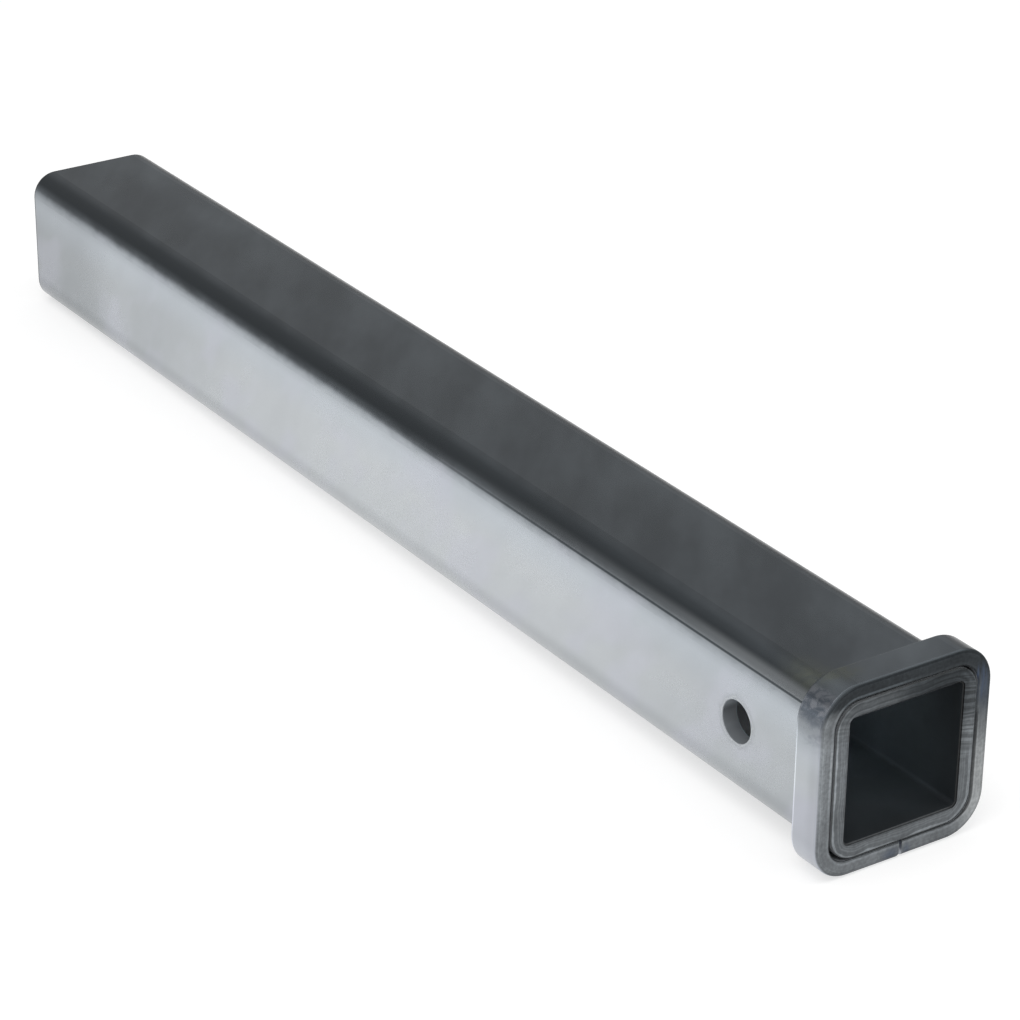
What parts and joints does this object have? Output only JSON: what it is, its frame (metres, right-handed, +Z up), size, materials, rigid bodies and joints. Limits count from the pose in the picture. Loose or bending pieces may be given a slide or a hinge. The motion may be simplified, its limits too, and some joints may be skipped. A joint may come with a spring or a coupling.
{
  "type": "hitch receiver tube",
  "caption": "Square steel hitch receiver tube with a hitch pin hole and a flat-bar collar welded round its mouth.",
  "frame": {"origin": "middle of the hitch pin hole, on the tube's own axis", "axes": "+X along the tube towards its mouth, +Y along the hitch pin, +Z up"},
  "size_m": [0.6096, 0.0768, 0.077],
  "materials": {
    "tube_steel": "bare, mill scale, lightly oiled",
    "collar_steel": "bare, mill scale cracked at the bends",
    "weld_metal": "as welded"
  },
  "bodies": {
    "root": {"receiver_tube": "tube_steel", "reinforcing_collar": "collar_steel", "collar_weld": "weld_metal"}
  },
  "joints": []
}
